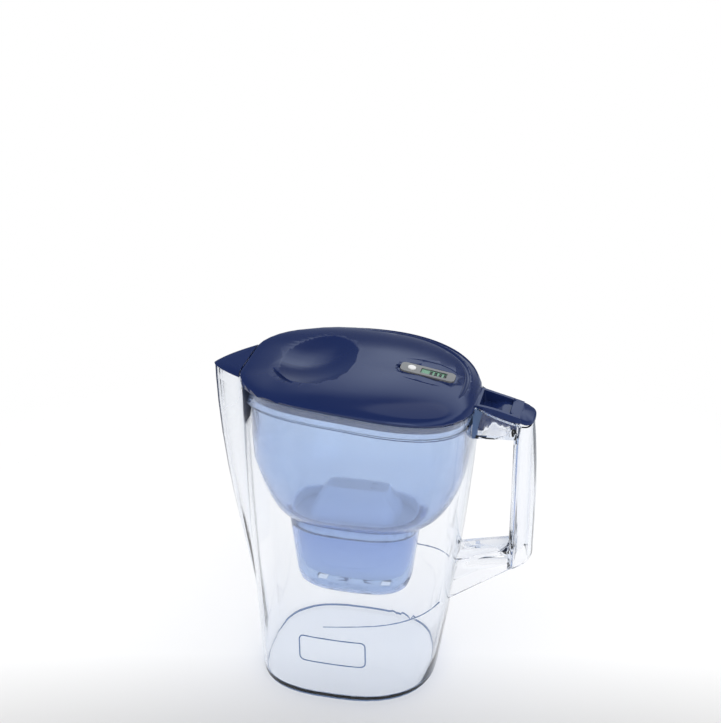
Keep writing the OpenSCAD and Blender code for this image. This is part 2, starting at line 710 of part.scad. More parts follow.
// Side walls and floor of the tail. Its root stays above the rim.
module tail_bar() {
  station_bar(concat(
    [for (x = [tail_x0, plug_x0 - 0.1]) [x, tail_top(x), rim_z(x) + lip_clear, tail_half, tail_half]],
    [for (i = [0:8])
      let (x = mix(plug_x0, pad_x + 9, i / 8), w = tail_width(x))
      [x, tail_top(x), tail_low(x), w, w]]));
}

module tail_trough() {
  station_bar([for (i = [0:8])
    let (x = mix(plug_x0 + 1.6, pad_x + 1, i / 8), w = tail_width(x) - tail_wall)
    [x, tail_top(x) + 6, trough_floor(x), w, w - 1.2]]);
}

// One level of the thumb pad: share 0 is its underside, share 1 its top.
function pad_level(inset, share) =
  [for (p = oval((tail_end_x - pad_x) / 2 - inset, tail_width(pad_x) - inset,
      (tail_end_x + pad_x) / 2, 2.6))
    [p[0], p[1], mix(tail_low(p[0]), pad_top(p[0]), share)]];

function plug_width(x) =
  min(plug_half + 3.2 * clamp01((plug_x1 - x) / 24), arm_width(x) - handle_wall - 2.2);

// Part of the tail that reaches down into the handle's arm.
module plug(inset, high, low) {
  station_bar([for (i = [0:4])
    let (x = mix(plug_x0 + inset, plug_x1 - inset, i / 4), w = plug_width(x) - inset)
    [x, tail_low(x) + high, mix(plug_low_z + 3, plug_low_z, i / 4) + low, w, w]]);
}

module lid_tail() {
  difference() {
    union() {
      tail_bar();
      // thumb pad at the tail's end
      skin([pad_level(1, 0), pad_level(0, 0.2), pad_level(0, 0.75), pad_level(1.4, 1)]);
      plug(0, 1, 0);
      // catch that enters the notch in the grip
      translate([plug_x1 - 1, -plug_half, arm_low_z + 7.4])
        cube([4.2, 2 * plug_half, grip_top_z - arm_low_z - 6]);
    }
    tail_trough();
    // hollow of the plug, open below
    plug(1.8, -4.4, -4);
  }
}

lug_r = 1.7;
lug_in = 9;
lug_w = 3;
swing_r = 3.9;   // room that the flap's back edge needs around its pivot

// Two lugs under the seam that hold the flap's pins.
module hinge_lugs() {
  for (side = [-1, 1])
    translate([pivot_x, side * (lug_in + lug_w / 2), pivot_z])
      rotate([90, 0, 0])
        difference() {
          union() {
            cylinder(h = lug_w, r = lug_r, center = true);
            translate([0, -2, -lug_w / 2]) cube([swing_r + 2, 0.9, lug_w]);
            translate([-lug_r, -2, -lug_w / 2]) cube([2 * lug_r, 2, lug_w]);
          }
          cylinder(h = lug_w + 2, r = pin_r + pin_gap, center = true);
        }
}

pocket_gap = 0.15;
case_x = rim_end_x - case_back;
case_tilt = 9.2;   // slope of the lid under the indicator, in degrees

// Moves the indicator from its own frame to its seat in the lid.
module at_indicator() {
  translate([case_x, 0, dome(case_x, 0.5) + 0.5])
    rotate([0, case_tilt, 0])
      translate([0, 0, -case_h]) children();
}

module case_plate(h, grow) {
  linear_extrude(h) hull() {
    for (sx = [-1, 1])
      for (sy = [-1, 1])
        translate([sx * (case_len / 2 - 4), sy * (case_w / 2 - 4)]) circle(r = 4 + grow, $fn = 32);
  }
}

module lid_shell() {
  color(navy) difference() {
    union() {
      difference() {
        lid_main();
        // round hollow behind the flap's back edge
        translate([pivot_x, 0, pivot_z])
          rotate([90, 0, 0]) cylinder(h = 2 * flap_half + 8, r = swing_r, center = true);
      }
      lid_tail();
      hinge_lugs();
      // pocket that holds the indicator
      at_indicator() translate([0, 0, -lid_wall]) case_plate(case_h + lid_wall - 1.2, 1.8);
    }
    scoop_cutter();
    at_indicator() case_plate(case_h + 6, pocket_gap);
    // finger slot at the indicator's end
    at_indicator() translate([-case_len / 2 - 4, -3, case_h - 2.4]) cube([8, 6, 6]);
  }
}

// ---------- spout flap ----------

flap_back_x = lid_front_x - 0.8;
flap_tip_x = mid_x(jug_h) - rim_len / 2 - beak_out - 0.6;
flap_under = 0.45;   // gap between the flap and the beak's edge
ear_in = lug_in + lug_w + 0.3;
ear_w = 2.2;

// The flap's outline, pointed at the spout and straight at the seam.
function flap_outline(inset, back) =
  let (l = flap_back_x - back - flap_tip_x - inset * 1.2, w = flap_half - inset)
  [for (i = [-8:8])
    let (u = i / 8) [flap_back_x - back - l * (1 - pow(abs(u), 1.35)), w * u]];

function flap_top(x) = mix(rim_z(flap_tip_x) + 2.4, pivot_z + 2.7,
  pow(clamp01((x - flap_tip_x) / (flap_back_x - flap_tip_x)), 0.75));

// One level of the flap: share 0 is its lower edge, share 1 its top.
function flap_level(inset, back, share, drop) =
  [for (p = flap_outline(inset, back))
    [p[0], p[1], mix(rim_z(p[0]) + flap_under, flap_top(p[0]), share) - drop]];

module spout_flap() {
  t = flap_t;
  color(navy) difference() {
    union() {
      skin([
        flap_level(t + 6, t, 1, t), flap_level(t + 2, t, 0.86, t), flap_level(t, t, 0.5, t * 0.4),
        flap_level(t, t, 0, 0), flap_level(0.2, 0, 0, 0), flap_level(0, 0, 0.12, 0),
        flap_level(0, 0, 0.5, 0), flap_level(2, 0, 0.86, 0), flap_level(6, 0, 1, 0)]);
      for (side = [-1, 1])
        translate([pivot_x, side * (ear_in + ear_w / 2), pivot_z])
          rotate([90, 0, 0]) {
            cylinder(h = ear_w, r = lug_r, center = true);
            translate([-lug_r, 0, -ear_w / 2]) cube([2 * lug_r, 2.1, ear_w]);
            // pivot pin, pointing inwards through the lug
            translate([0, 0, side * (lug_w + 0.6) / 2])
              cylinder(h = ear_w + lug_w + 0.6, r = pin_r, center = true);
          }
    }
    // room for the lid's lugs
    for (side = [-1, 1])
      translate([pivot_x, side * (lug_in + lug_w / 2), pivot_z])
        rotate([90, 0, 0])
          difference() {
            union() {
              cylinder(h = lug_w + 0.6, r = lug_r + 0.3, center = true);
              translate([-lug_r - 0.3, -4, -lug_w / 2 - 0.3]) cube([8, 5.4, lug_w + 0.6]);
            }
            cylinder(h = lug_w + 2, r = pin_r, center = true);
          }
    // the back wall stays clear of the beak's edges while it swings
    translate([pivot_x + 0.2, -flap_half + 1.7, pivot_z - 4.5]) cube([6, 2 * flap_half - 3.4, 4]);
  }
}

// ---------- indicator ----------

shell_t = 1;
split_h = 2.6;                 // height of the case's lower half
board_z = split_h + 0.4;
board_t = 0.8;
glass_x = 4.5;                 // middle of the display
glass_len = 20;
glass_w = 8;
button_x = -12.5;
window_t = 0.8;
cell_h = 1.6;
cell_x = 12;
cell_z = shell_t + 0.35;
top_gap = 0.05;

module indicator_case_bottom() {
  color(silver) at_indicator() difference() {
    case_plate(split_h, 0);
    translate([0, 0, shell_t]) case_plate(split_h, -shell_t);
  }
}

module indicator_case_top() {
  color(silver) at_indicator() difference() {
    translate([0, 0, split_h + top_gap]) case_plate(case_h - split_h - top_gap, 0);
    translate([0, 0, split_h - 1]) case_plate(case_h - shell_t - split_h + 1, -shell_t);
    translate([glass_x - glass_len / 2, -glass_w / 2, 0]) cube([glass_len, glass_w, case_h + 1]);
    translate([button_x, 0, 0]) cylinder(h = case_h + 1, r = button_r + 0.2);
  }
}

module indicator_window() {
  g = 0.1;
  color([0.8, 0.9, 0.85, 0.5]) at_indicator()
    translate([glass_x - glass_len / 2 + g, -glass_w / 2 + g, case_h - window_t - 0.1])
      cube([glass_len - 2 * g, glass_w - 2 * g, window_t]);
}

display_z = case_h - window_t - 0.2 - 0.9;

module indicator_display() {
  color([0.25, 0.4, 0.3]) at_indicator()
    translate([glass_x - glass_len / 2 + 0.6, -glass_w / 2 + 0.4, display_z])
      cube([glass_len - 1.2, glass_w - 0.8, 0.9]);
}

module display_connector_strip() {
  h = display_z - board_z - board_t - 0.1;
  color("black") at_indicator()
    translate([glass_x - glass_len / 2 + 2, glass_w / 2 - 1.8, board_z + board_t + 0.05])
      cube([glass_len - 4, 1.2, h]);
}

module indicator_board() {
  color("darkgreen") at_indicator()
    translate([0, 0, board_z]) difference() {
      case_plate(board_t, -shell_t - 0.2);
      translate([cell_x, 0, -1]) cylinder(h = 3, r = 1);
    }
}

dome_h = 0.5;
button_travel = 0.4;
button_low = board_z + board_t + dome_h + 0.1;

module button_switch_dome() {
  color(silver) at_indicator()
    translate([button_x, 0, board_z + board_t + 0.02])
      difference() {
        cylinder(h = dome_h - 0.1, r1 = 2.4, r2 = 1.2);
        translate([0, 0, -0.1]) cylinder(h = dome_h - 0.15, r1 = 2.2, r2 = 1);
      }
}

module indicator_button() {
  color(white) at_indicator() translate([button_x, 0, 0]) {
    translate([0, 0, button_low + button_travel])
      cylinder(h = case_h + 0.7 - button_low - button_travel, r = button_r);
    translate([0, 0, case_h - shell_t - 0.7]) cylinder(h = 0.6, r = button_r + 0.8);
    translate([0, 0, case_h + 0.7]) cylinder(h = 0.3, r1 = button_r, r2 = button_r - 0.5);
  }
}

module indicator_cell() {
  color(silver) at_indicator()
    translate([cell_x, 0, cell_z]) cylinder(h = cell_h - 0.25, r = cell_d / 2);
}

module cell_contact_upper() {
  color("gold") at_indicator()
    translate([cell_x - 3, -1.5, cell_z + cell_h - 0.22]) cube([6, 3, 0.15]);
}

module cell_contact_lower() {
  color("gold") at_indicator()
    translate([cell_x - 3, -1.5, cell_z - 0.2]) cube([6, 3, 0.15]);
}

jug_body();
jug_handle();
funnel();
cartridge_cup();
cartridge_cap();
cartridge_inlet_screen();
filter_granules();
cartridge_outlet_screen();
lid_shell();
spout_flap();
indicator_case_top();
indicator_case_bottom();
indicator_window();
indicator_display();
display_connector_strip();
indicator_button();
button_switch_dome();
indicator_board();
indicator_cell();
cell_contact_upper();
cell_contact_lower();
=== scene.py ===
import json
from math import cos, pi, radians, sin

import bpy
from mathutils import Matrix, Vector

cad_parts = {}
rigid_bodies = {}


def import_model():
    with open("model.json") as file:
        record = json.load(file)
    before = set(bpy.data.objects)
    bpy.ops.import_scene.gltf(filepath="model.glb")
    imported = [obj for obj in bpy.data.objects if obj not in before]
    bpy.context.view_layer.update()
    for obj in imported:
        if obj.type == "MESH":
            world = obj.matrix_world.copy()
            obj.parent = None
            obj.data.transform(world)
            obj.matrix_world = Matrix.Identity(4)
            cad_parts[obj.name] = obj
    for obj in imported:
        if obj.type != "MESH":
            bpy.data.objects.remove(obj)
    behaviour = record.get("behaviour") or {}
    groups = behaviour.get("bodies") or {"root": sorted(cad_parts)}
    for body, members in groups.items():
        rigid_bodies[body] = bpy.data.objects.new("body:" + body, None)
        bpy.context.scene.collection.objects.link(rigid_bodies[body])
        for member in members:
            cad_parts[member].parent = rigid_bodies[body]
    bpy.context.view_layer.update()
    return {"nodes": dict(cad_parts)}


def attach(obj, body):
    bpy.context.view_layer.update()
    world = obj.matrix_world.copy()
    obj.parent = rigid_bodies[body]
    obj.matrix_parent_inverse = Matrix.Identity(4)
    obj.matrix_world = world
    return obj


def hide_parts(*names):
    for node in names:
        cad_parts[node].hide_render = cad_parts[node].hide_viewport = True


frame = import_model()

mm = 0.001


# objects and selection

def deselectAll():
    bpy.ops.object.select_all(action="DESELECT")


def activate(obj):
    deselectAll()
    obj.select_set(True)
    bpy.context.view_layer.objects.active = obj


def useModifier(obj, kind, **settings):
    activate(obj)
    modifier = obj.modifiers.new(kind.lower(), kind)
    for key, value in settings.items():
        setattr(modifier, key, value)
    bpy.ops.object.modifier_apply(modifier=modifier.name)


# Smooth shading up to an angle, with the large faces kept flat beside small bevels.
def smoothByAngle(obj, degrees):
    activate(obj)
    bpy.ops.object.shade_smooth_by_angle(angle=radians(degrees))
    useModifier(obj, "WEIGHTED_NORMAL", keep_sharp=True, weight=80)


# Merges the points that lie closer together than a distance in millimetres.
def mergePoints(obj, distance):
    activate(obj)
    bpy.ops.object.mode_set(mode="EDIT")
    bpy.ops.mesh.select_all(action="SELECT")
    bpy.ops.mesh.remove_doubles(threshold=distance * mm)
    bpy.ops.object.mode_set(mode="OBJECT")


# A welded copy of a CAD node, to work on.
def copyNode(node):
    activate(frame["nodes"][node])
    bpy.ops.object.duplicate()
    copy = bpy.context.view_layer.objects.active
    copy.name = node + ".visual"
    copy.data.materials.clear()
    bpy.ops.object.parent_clear(type="CLEAR_KEEP_TRANSFORM")
    mergePoints(copy, 0.005)
    return copy


# Smooths a piece, gives it its material where it has none, and ties it to its body.
def finishPiece(obj, body, material, degrees):
    smoothByAngle(obj, degrees)
    if not obj.data.materials:
        obj.data.materials.append(material)
    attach(obj, body)


# A round bar along points in millimetres, with a radius at each.
def makeBar(name, points, radii, sides):
    deselectAll()
    bpy.ops.curve.primitive_nurbs_path_add()
    path = bpy.context.object
    path.name = name
    spline = path.data.splines[0]
    spline.points.add(len(points) - len(spline.points))
    for dot, point, radius in zip(spline.points, points, radii):
        dot.co = (*(Vector(point) * mm), 1)
        dot.radius = radius
    spline.order_u = 3
    spline.use_endpoint_u = True
    spline.resolution_u = 3
    path.data.bevel_depth = mm
    path.data.bevel_resolution = sides
    path.data.use_fill_caps = True
    activate(path)
    bpy.ops.object.convert(target="MESH")
    bar = bpy.context.object
    mergePoints(bar, 0.001)
    bpy.ops.object.mode_set(mode="EDIT")
    bpy.ops.mesh.select_all(action="SELECT")
    bpy.ops.mesh.normals_make_consistent(inside=False)
    bpy.ops.object.mode_set(mode="OBJECT")
    return bar


# Cuts a tool out of a piece, or joins it on with a finish of its own, and takes the tool away.
def carve(piece, tool, operation="DIFFERENCE", finish=None):
    if finish:
        tool.data.materials.append(finish)
    useModifier(piece, "BOOLEAN", operation=operation, object=tool, solver="EXACT",
                material_mode="TRANSFER" if finish else "INDEX")
    bpy.data.objects.remove(tool)


# Rises from 0 to 1 and back over the length of a row.
def swell(count, power):
    return [sin(pi * k / (count - 1)) ** power for k in range(count)]


# The first finish covers the piece, and the second is for the faces that are picked out.
def giveFinishes(obj, *names):
    for name in names:
        obj.data.materials.append(finishes[name])


# Gives the faces that pass a test the second finish. The test gets the middle in
# millimetres and the normal.
def dressFaces(obj, test):
    for face in obj.data.polygons:
        if test(face.center / mm, face.normal):
            face.material_index = 1


# Makes the border of the faces that pass a test a sharp edge.
def sharpenBorder(obj, test):
    activate(obj)
    for face in obj.data.polygons:
        face.select = test(obj, face)
    bpy.ops.object.mode_set(mode="EDIT")
    bpy.ops.mesh.select_mode(type="FACE")
    bpy.ops.mesh.region_to_loop()
    bpy.ops.mesh.mark_sharp()
    bpy.ops.object.mode_set(mode="OBJECT")


def clamp01(value):
    return min(1.0, max(0.0, value))


def mix(low, high, share):
    return low + (high - low) * share


# materials

def addSocket(group, name, direction, kind="NodeSocketFloat", value=None):
    socket = group.interface.new_socket(name=name, in_out=direction, socket_type=kind)
    if value is not None:
        socket.default_value = value


# Uneven gloss, cloudy colour and fine texture of moulded plastic.
def makeMouldedGroup():
    group = bpy.data.node_groups.new("mouldedPlastic", "ShaderNodeTree")
    addSocket(group, "Place", "INPUT", "NodeSocketVector")
    addSocket(group, "Cloud Scale", "INPUT", value=18.0)
    addSocket(group, "Grain Scale", "INPUT", value=900.0)
    addSocket(group, "Rough Low", "INPUT", value=0.2)
    addSocket(group, "Rough High", "INPUT", value=0.3)
    addSocket(group, "Cloud", "OUTPUT")
    addSocket(group, "Roughness", "OUTPUT")
    addSocket(group, "Height", "OUTPUT")
    nodes = group.nodes
    links = group.links
    start = nodes.new("NodeGroupInput")
    end = nodes.new("NodeGroupOutput")
    cloud = nodes.new("ShaderNodeTexNoise")
    cloud.inputs["Detail"].default_value = 3.0
    grain = nodes.new("ShaderNodeTexNoise")
    grain.inputs["Detail"].default_value = 2.0
    links.new(start.outputs["Place"], cloud.inputs["Vector"])
    links.new(start.outputs["Place"], grain.inputs["Vector"])
    links.new(start.outputs["Cloud Scale"], cloud.inputs["Scale"])
    links.new(start.outputs["Grain Scale"], grain.inputs["Scale"])
    spread = nodes.new("ShaderNodeMapRange")
    spread.inputs["From Min"].default_value = 0.3
    spread.inputs["From Max"].default_value = 0.7
    links.new(cloud.outputs["Fac"], spread.inputs["Value"])
    links.new(spread.outputs["Result"], end.inputs["Cloud"])
    rough = nodes.new("ShaderNodeMapRange")
    links.new(spread.outputs["Result"], rough.inputs["Value"])
    links.new(start.outputs["Rough Low"], rough.inputs["To Min"])
    links.new(start.outputs["Rough High"], rough.inputs["To Max"])
    links.new(rough.outputs["Result"], end.inputs["Roughness"])
    links.new(grain.outputs["Fac"], end.inputs["Height"])
    return group


print("making the finishes")
mouldedPlastic = makeMouldedGroup()
# painted shade: see-through plastics get a darker base colour along their outline, where they are
# seen at a slant
slantShadeFalloff = 5.0        # the higher, the narrower the darker outline of see-through plastic


# A plastic or metal whose colour, gloss and grain come from the moulded group.
def makeFinish(name, colour, shade, low, high, bump=0.02, cloudScale=18.0, grainScale=900.0,
               lampTint=None, depthTint=None, slantShade=None, **sockets):
    material = bpy.data.materials.new(name)
    material.use_nodes = True
    nodes = material.node_tree.nodes
    links = material.node_tree.links
    shader = nodes["Principled BSDF"]
    place = nodes.new("ShaderNodeTexCoord")
    moulded = nodes.new("ShaderNodeGroup")
    moulded.node_tree = mouldedPlastic
    moulded.inputs["Cloud Scale"].default_value = cloudScale
    moulded.inputs["Grain Scale"].default_value = grainScale
    moulded.inputs["Rough Low"].default_value = low
    moulded.inputs["Rough High"].default_value = high
    links.new(place.outputs["Object"], moulded.inputs["Place"])
    tint = nodes.new("ShaderNodeMix")
    tint.data_type = "RGBA"
    tint.inputs["A"].default_value = (*colour, 1)
    tint.inputs["B"].default_value = (*shade, 1)
    links.new(moulded.outputs["Cloud"], tint.inputs["Factor"])
    links.new(tint.outputs["Result"], shader.inputs["Base Color"])
    if slantShade:
        paintSlantShade(material, tint.outputs["Result"], slantShade)
    links.new(moulded.outputs["Roughness"], shader.inputs["Roughness"])
    relief = nodes.new("ShaderNodeBump")
    relief.inputs["Strength"].default_value = bump
    relief.inputs["Distance"].default_value = 0.2 * mm
    links.new(moulded.outputs["Height"], relief.inputs["Height"])
    links.new(relief.outputs["Normal"], shader.inputs["Normal"])
    for key, value in sockets.items():
        shader.inputs[key.replace("_", " ")].default_value = value
    if lampTint:
        letLampsThrough(material, lampTint)
    if depthTint:
        tintByDepth(material, *depthTint)
    return material


# Painted shade: the base colour darkens where a surface is seen at a steep slant, standing in for
# the darker outline that see-through walls show.
def paintSlantShade(material, colour, slantShade):
    nodes = material.node_tree.nodes
    links = material.node_tree.links
    slant = nodes.new("ShaderNodeLayerWeight")
    steep = nodes.new("ShaderNodeMath")
    steep.operation = "POWER"
    steep.inputs[1].default_value = slantShadeFalloff
    links.new(slant.outputs["Facing"], steep.inputs[0])
    edge = nodes.new("ShaderNodeMix")
    edge.data_type = "RGBA"
    edge.inputs["B"].default_value = (*slantShade, 1)
    links.new(steep.outputs["Value"], edge.inputs["Factor"])
    links.new(colour, edge.inputs["A"])
    links.new(edge.outputs["Result"], nodes["Principled BSDF"].inputs["Base Color"])


# Light from lamps and from around reaches what is behind see-through plastic.
def letLampsThrough(material, tint):
    nodes = material.node_tree.nodes
    links = material.node_tree.links
    path = nodes.new("ShaderNodeLightPath")
    thin = nodes.new("ShaderNodeBsdfTransparent")
    thin.inputs["Color"].default_value = (*tint, 1)
    either = nodes.new("ShaderNodeMath")
    either.operation = "MAXIMUM"
    links.new(path.outputs["Is Shadow Ray"], either.inputs[0])
    links.new(path.outputs["Is Diffuse Ray"], either.inputs[1])
    choose = nodes.new("ShaderNodeMixShader")
    links.new(either.outputs["Value"], choose.inputs["Fac"])
    links.new(nodes["Principled BSDF"].outputs["BSDF"], choose.inputs[1])
    links.new(thin.outputs["BSDF"], choose.inputs[2])
    links.new(choose.outputs["Shader"], nodes["Material Output"].inputs["Surface"])


# Long ways through the plastic, as along a wall's edge, take on its colour.
def tintByDepth(material, tint, density):
    nodes = material.node_tree.nodes
    volume = nodes.new("ShaderNodeVolumeAbsorption")
    volume.inputs["Color"].default_value = (*tint, 1)
    volume.inputs["Density"].default_value = density
    material.node_tree.links.new(volume.outputs["Volume"], nodes["Material Output"].inputs["Volume"])


# What the see-through plastics have in common. The depth tint is a colour and its density.
clearSettings = {"bump": 0.0, "lampTint": (0.99, 0.995, 1.0), "IOR": 1.49}
clearDepth = (0.35, 0.5, 0.76)
# painted shade that the clear plastics darken to along their outline
clearSlantShade = (0.50, 0.60, 0.76)
tintedSettings = {"lampTint": (0.72, 0.80, 0.94), "depthTint": ((0.2, 0.35, 0.8), 60.0),
                  "IOR": 1.45}

# Each finish has its colour, the shade that it varies to, and its lowest and highest roughness.
finishes = {
    "clear": makeFinish("clearPlastic", (0.995, 0.997, 1.0), (0.99, 0.995, 1.0), 0.0, 0.02,
                        slantShade=clearSlantShade, depthTint=(clearDepth, 12.0),
                        Transmission_Weight=1.0, **clearSettings),
    "handle": makeFinish("handlePlastic", (0.99, 0.993, 1.0), (0.98, 0.985, 1.0), 0.0, 0.03,
                         slantShade=clearSlantShade, depthTint=(clearDepth, 14.0),
                         Transmission_Weight=1.0, **clearSettings),
    # painted shade: a dark slate colour for the jug's narrow edges, its badge line and its crease,
    # standing in for the dark lines that its clear walls show
    "paintedClearShade": makeFinish("clearPlasticPaintedShade", (0.20, 0.30, 0.50), (0.18, 0.28, 0.48), 0.0, 0.05,
                            depthTint=(clearDepth, 12.0), Transmission_Weight=0.4, **clearSettings),
    "bond": makeFinish("bondedPlastic", (0.10, 0.16, 0.30), (0.09, 0.15, 0.28), 0.0, 0.05,
                       depthTint=(clearDepth, 14.0), Transmission_Weight=0.3, **clearSettings),
    # painted shade: a dark blue colour for the funnel's rim, ledge and the line below it, standing
    # in for the dark lines that its see-through walls show
    "paintedTintedShade": makeFinish("tintedPlasticPaintedShade", (0.03, 0.07, 0.30), (0.02, 0.06, 0.27), 0.1, 0.2,
                             Transmission_Weight=0.6, Specular_IOR_Level=0.15, **tintedSettings),
    # painted shade: the funnel's blue darkens along its outline, where it is seen at a slant
    "tinted": makeFinish("tintedPlastic", (0.74, 0.83, 0.935), (0.72, 0.815, 0.93), 0.05, 0.1,
                         bump=0.0, slantShade=(0.30, 0.42, 0.72), Transmission_Weight=0.92,
                         **tintedSettings),
    "white": makeFinish("whitePlastic", (0.955, 0.957, 0.96), (0.94, 0.942, 0.948), 0.34, 0.44,
                        bump=0.04),
    "screen": makeFinish("screenPlastic", (0.80, 0.81, 0.80), (0.74, 0.75, 0.74), 0.4, 0.55),
    "granules": makeFinish("granules", (0.03, 0.03, 0.03), (0.10, 0.09, 0.08), 0.5, 0.8,
                           bump=0.8, cloudScale=700.0, grainScale=600.0),
    "navy": makeFinish("navyPlastic", (0.009, 0.019, 0.084), (0.011, 0.022, 0.092), 0.13, 0.18,
                       Specular_IOR_Level=0.5, Specular_Tint=(0.7, 0.8, 1.0, 1.0)),
    "silver": makeFinish("silverPlastic", (0.30, 0.30, 0.29), (0.26, 0.26, 0.26), 0.28, 0.38,
                         Metallic=0.5),
    "window": makeFinish("clearWindow", (0.95, 0.97, 0.96), (0.93, 0.96, 0.95), 0.0, 0.03,
                         bump=0.0, lampTint=(0.95, 0.97, 0.96), Transmission_Weight=1.0, IOR=1.12),
    "display": makeFinish("displayGlass", (0.14, 0.34, 0.22), (0.12, 0.31, 0.20), 0.3, 0.4),
    "mark": makeFinish("displayMark", (0.004, 0.006, 0.006), (0.006, 0.009, 0.008), 0.4, 0.5,
                       Specular_IOR_Level=0.1),
    "rubber": makeFinish("conductiveRubber", (0.02, 0.02, 0.02), (0.04, 0.04, 0.04), 0.6, 0.8),
    "button": makeFinish("buttonPlastic", (0.82, 0.83, 0.84), (0.78, 0.79, 0.80), 0.3, 0.4),
    "spring": makeFinish("springSteel", (0.62, 0.62, 0.60), (0.5, 0.5, 0.5), 0.2, 0.3, Metallic=1.0),
    "board": makeFinish("circuitBoard", (0.02, 0.10, 0.05), (0.02, 0.13, 0.06), 0.4, 0.5),
    "cell": makeFinish("cellSteel", (0.66, 0.66, 0.65), (0.56, 0.56, 0.56), 0.2, 0.35, Metallic=1.0),
    "contact": makeFinish("contactBrass", (0.72, 0.55, 0.25), (0.6, 0.45, 0.2), 0.25, 0.35,
                          Metallic=1.0),
}

# The rim that the jug, the funnel and the lid share. All sizes of the pieces are in millimetres.
rim = {
    "height": 262.0,
    "peakX": -31.5,
    "arch": 9.2,
    "middleX": 7.5,
    "halfLength": 90.25,
    "halfWidth": 72.9,
    "frontPower": 2.71,
    "backPower": 2.43,
    "flare": 0.058,
}
flarePerMm = rim["flare"] / rim["halfLength"]


# How far the arched rim lies below its highest point.
def rimDrop(x):
    return rim["arch"] * ((x - rim["peakX"]) / 100) ** 2


lid = {
    "lipReach": 0.8,             # how far the lid's lip stands out over the rim
    "lipRise": 2.6,
    "noseRise": 2.6,
    "noseX": -50.0,
    "noseLength": 28.0,
    "crownFront": 3.0,
    "crownBack": 11.4,
    "crownFromX": -75.0,
    "crownLength": 150.0,
    "crownPower": 3.4,
    "crownRound": 0.55,
    "scoopX": -30.0,
    "scoopCentreZ": 429.59,
    "scoopRing": 88.85,
    "scoopRadius": 77.17,
    "scoopSlack": 0.06,
    # Bars that are cut out of the lid or joined on. Each has its middle at a lift over the
    # lid's surface, and thins out towards its ends, which lie higher by the end rise.
    "bars": {
        "groove": {"radius": 4.0, "endRadius": 0.4, "lift": 2.1, "endRise": -0.9,
                   "swell": 0.5, "sides": 6},
        "ridge": {"radius": 1.3, "endRadius": 0.4, "lift": -0.2, "endRise": -1.3,
                  "swell": 0.5, "sides": 4},
        "eye": {"radius": 0.8, "endRadius": 0.15, "lift": 0.25, "endRise": 0.6,
                "swell": 0.5, "sides": 3},
        "notch": {"radius": 1.7, "endRadius": 0.2, "lift": -0.2, "endRise": 1.2,
                  "swell": 0.8, "sides": 4},
    },
    # The groove and the ridge turn about the lid's middle, from one side of the handle to the
    # other, at a share of the way to the lid's edge.
    "edgeTurns": (112, -24),     # degrees from the handle
    "edgeSteps": 30,
    "ridgeSteps": 24,            # the ridge ends after so many of them
    "grooveShare": 0.885,
    "ridgeShare": 0.972,
    "eyeRows": [
        [(34, 9.5), (37, 14), (42, 17), (50, 18.5), (60, 18.8), (70, 18), (77, 15.5), (81, 10),
         (82, 4)],
        [(35, -12), (41, -14.6), (50, -16.4), (60, -17), (70, -16), (79, -12.5)],
    ],
    "notchRow": [(-60, -15), (-54.5, -24), (-47.5, -33), (-40, -40.5), (-32, -46.5)],
}

lidHalfLength = rim["halfLength"] + lid["lipReach"]
lidHalfWidth = rim["halfWidth"] + lid["lipReach"]


def lipTop(x):
    nose = lid["noseRise"] * clamp01((lid["noseX"] - x) / lid["noseLength"])
    return rim["height"] - rimDrop(x) + lid["lipRise"] + nose


# How far out towards the lid's edge a point is, as a share.
def lidShare(x, y):
    along = x - rim["middleX"]
    across = y / (1 + flarePerMm * along)
    power = rim["frontPower"] if along < 0 else rim["backPower"]
    total = abs(along / lidHalfLength) ** power + abs(across / lidHalfWidth) ** power
    return total ** (1 / power)


def lidTop(x, y):
    share = min(1.0, lidShare(x, y))
    back = clamp01((x - lid["crownFromX"]) / lid["crownLength"])
    crown = mix(lid["crownFront"], lid["crownBack"], back)
    return lipTop(x) + crown * max(0.0, 1 - share ** lid["crownPower"]) ** lid["crownRound"]


# Place on the lid in a direction from its middle, at a share of the way to its edge.
def lidDirection(degrees, share):
    turn = radians(degrees)
    along = cos(turn) * lidHalfLength
    across = sin(turn) * lidHalfWidth
    scale = share / lidShare(rim["middleX"] + along, across * (1 + flarePerMm * along))
    return (rim["middleX"] + along * scale, across * scale * (1 + flarePerMm * along * scale))


def makeLidBar(kind, row):
    bar = lid["bars"][kind]
    reach = swell(len(row), bar["swell"])
    points = [(x, y, lidTop(x, y) + bar["lift"] + bar["endRise"] * (1 - part))
              for (x, y), part in zip(row, reach)]
    radii = [max(bar["endRadius"], bar["radius"] * part) for part in reach]
    return makeBar(kind + "Tool", points, radii, bar["sides"])


# Groove behind and beside the crown, with the raised edge that stands behind it.
def shapeEdge(shell):
    steps = lid["edgeSteps"]
    turns = [mix(*lid["edgeTurns"], k / steps) for k in range(steps + 1)]
    groove = [lidDirection(turn, lid["grooveShare"]) for turn in turns]
    carve(shell, makeLidBar("groove", groove))
    ridge = [lidDirection(turn, lid["ridgeShare"]) for turn in turns[:lid["ridgeSteps"] + 1]]
    carve(shell, makeLidBar("ridge", ridge), "UNION")


# Whether a face lies on the finger scoop, which is part of a ring's surface.
def onScoop(obj, face):
    for number in face.vertices:
        x, y, z = obj.data.vertices[number].co / mm
        across = (y ** 2 + (z - lid["scoopCentreZ"]) ** 2) ** 0.5
        out = ((x - lid["scoopX"]) ** 2 + (across - lid["scoopRing"]) ** 2) ** 0.5
        if abs(out - lid["scoopRadius"]) > lid["scoopSlack"]:
            return False
    return True


# The indicator gets two curved grooves that frame it like an eye, and the scoop gets a
# lens-shaped notch where it runs out at the front left.
def dressLid():
    shell = copyNode("lid_shell")
    shapeEdge(shell)
    for row in lid["eyeRows"]:
        carve(shell, makeLidBar("eye", row))
    carve(shell, makeLidBar("notch", lid["notchRow"]))
    sharpenBorder(shell, onScoop)
    return shell


